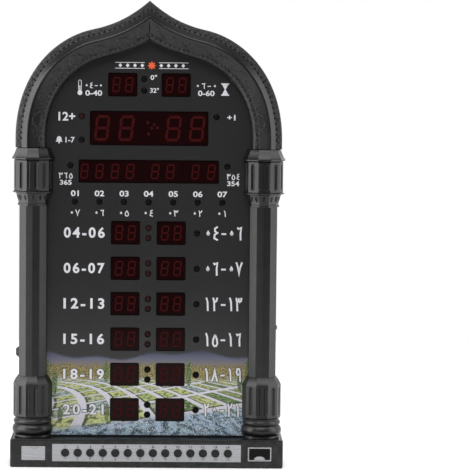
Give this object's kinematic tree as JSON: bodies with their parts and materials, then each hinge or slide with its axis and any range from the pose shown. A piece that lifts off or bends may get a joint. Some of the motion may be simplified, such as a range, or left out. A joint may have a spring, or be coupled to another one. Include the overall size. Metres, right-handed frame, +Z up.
{
  "type": "azan clock",
  "caption": "Upright digital prayer-time clock: pointed arch on fluted half columns over a plinth with a row of round keys, LED windows in a flat panel, deep back shell.",
  "frame": {"origin": "middle of the underside, on the surface the plinth stands on, halfway between the back and the keys' faces", "axes": "+X to the right seen from the front, +Y from the front to the back, +Z up"},
  "size_m": [0.2464, 0.0536, 0.42],
  "materials": {
    "casing": "satin black moulded plastic, faint grain",
    "black_plastic": "satin black plastic",
    "panel": "dark grey printed sheet, satin",
    "silver_plate": "silver, satin",
    "dark_lens": "black, polished",
    "display_face": "very dark red filter film",
    "circuit_board": "green solder mask",
    "steel": "plated"
  },
  "bodies": {
    "clock": {"arch_frame": "casing", "column_left": "casing", "column_right": "casing", "front_frame": "casing", "rear_cover": "casing", "base_housing": "casing", "base_cover": "black_plastic", "display_panel": "panel", "display_board": "circuit_board", "control_board": "circuit_board", "button_board": "circuit_board", "main_time_display": "display_face", "year_display": "display_face", "month_display": "display_face", "day_display": "display_face", "temperature_display": "display_face", "countdown_display": "display_face", "row_1_hours_display": "display_face", "row_1_minutes_display": "display_face", "row_2_hours_display": "display_face", "row_2_minutes_display": "display_face", "row_3_hours_display": "display_face", "row_3_minutes_display": "display_face", "row_4_hours_display": "display_face", "row_4_minutes_display": "display_face", "row_5_hours_display": "display_face", "row_5_minutes_display": "display_face", "row_6_hours_display": "display_face", "row_6_minutes_display": "display_face", "button_plate": "silver_plate", "badge_plate": "silver_plate", "window_frame": "silver_plate", "window_lens": "dark_lens", "remote_receiver": "black_plastic", "speaker": "black_plastic", "dc_jack": "black_plastic", "backup_battery": "steel", "volume_control": "steel", "switch_body": "steel", "cover_screw_low_left": "steel", "cover_screw_low_right": "steel", "cover_screw_high_left": "steel", "cover_screw_high_right": "steel"},
    "battery_lid": {"battery_door": "casing"},
    "knob": {"volume_knob": "black_plastic"},
    "lever": {"switch_lever": "black_plastic"},
    "key_01": {"button_01": "black_plastic"},
    "key_02": {"button_02": "black_plastic"},
    "key_03": {"button_03": "black_plastic"},
    "key_04": {"button_04": "black_plastic"},
    "key_05": {"button_05": "black_plastic"},
    "key_06": {"button_06": "black_plastic"},
    "key_07": {"button_07": "black_plastic"},
    "key_08": {"button_08": "black_plastic"},
    "key_09": {"button_09": "black_plastic"},
    "key_10": {"button_10": "black_plastic"},
    "key_11": {"button_11": "black_plastic"},
    "key_12": {"button_12": "black_plastic"},
    "key_13": {"button_13": "black_plastic"},
    "key_14": {"button_14": "black_plastic"}
  },
  "joints": [
    {"name": "battery_lid_hinge", "type": "hinge", "parent": "clock", "child": "battery_lid", "pos_m": [0.072, 0.0265, 0.1734], "axis": [-1, 0, 0], "range_deg": [0, 90]},
    {"name": "volume_turn", "type": "hinge", "parent": "clock", "child": "knob", "pos_m": [-0.1155, 0.0161, 0.0999], "axis": [-1, 0, 0], "range_deg": [-135, 135]},
    {"name": "switch_slide", "type": "slide", "parent": "clock", "child": "lever", "axis": [0, 0, 1], "range_m": [0, 0.003]},
    {"name": "key_01_press", "type": "slide", "parent": "clock", "child": "key_01", "axis": [0, 1, 0], "range_m": [0, 0.0008], "stiffness_N_per_m": 400},
    {"name": "key_02_press", "type": "slide", "parent": "clock", "child": "key_02", "axis": [0, 1, 0], "range_m": [0, 0.0008], "stiffness_N_per_m": 400},
    {"name": "key_03_press", "type": "slide", "parent": "clock", "child": "key_03", "axis": [0, 1, 0], "range_m": [0, 0.0008], "stiffness_N_per_m": 400},
    {"name": "key_04_press", "type": "slide", "parent": "clock", "child": "key_04", "axis": [0, 1, 0], "range_m": [0, 0.0008], "stiffness_N_per_m": 400},
    {"name": "key_05_press", "type": "slide", "parent": "clock", "child": "key_05", "axis": [0, 1, 0], "range_m": [0, 0.0008], "stiffness_N_per_m": 400},
    {"name": "key_06_press", "type": "slide", "parent": "clock", "child": "key_06", "axis": [0, 1, 0], "range_m": [0, 0.0008], "stiffness_N_per_m": 400},
    {"name": "key_07_press", "type": "slide", "parent": "clock", "child": "key_07", "axis": [0, 1, 0], "range_m": [0, 0.0008], "stiffness_N_per_m": 400},
    {"name": "key_08_press", "type": "slide", "parent": "clock", "child": "key_08", "axis": [0, 1, 0], "range_m": [0, 0.0008], "stiffness_N_per_m": 400},
    {"name": "key_09_press", "type": "slide", "parent": "clock", "child": "key_09", "axis": [0, 1, 0], "range_m": [0, 0.0008], "stiffness_N_per_m": 400},
    {"name": "key_10_press", "type": "slide", "parent": "clock", "child": "key_10", "axis": [0, 1, 0], "range_m": [0, 0.0008], "stiffness_N_per_m": 400},
    {"name": "key_11_press", "type": "slide", "parent": "clock", "child": "key_11", "axis": [0, 1, 0], "range_m": [0, 0.0008], "stiffness_N_per_m": 400},
    {"name": "key_12_press", "type": "slide", "parent": "clock", "child": "key_12", "axis": [0, 1, 0], "range_m": [0, 0.0008], "stiffness_N_per_m": 400},
    {"name": "key_13_press", "type": "slide", "parent": "clock", "child": "key_13", "axis": [0, 1, 0], "range_m": [0, 0.0008], "stiffness_N_per_m": 400},
    {"name": "key_14_press", "type": "slide", "parent": "clock", "child": "key_14", "axis": [0, 1, 0], "range_m": [0, 0.0008], "stiffness_N_per_m": 400}
  ]
}
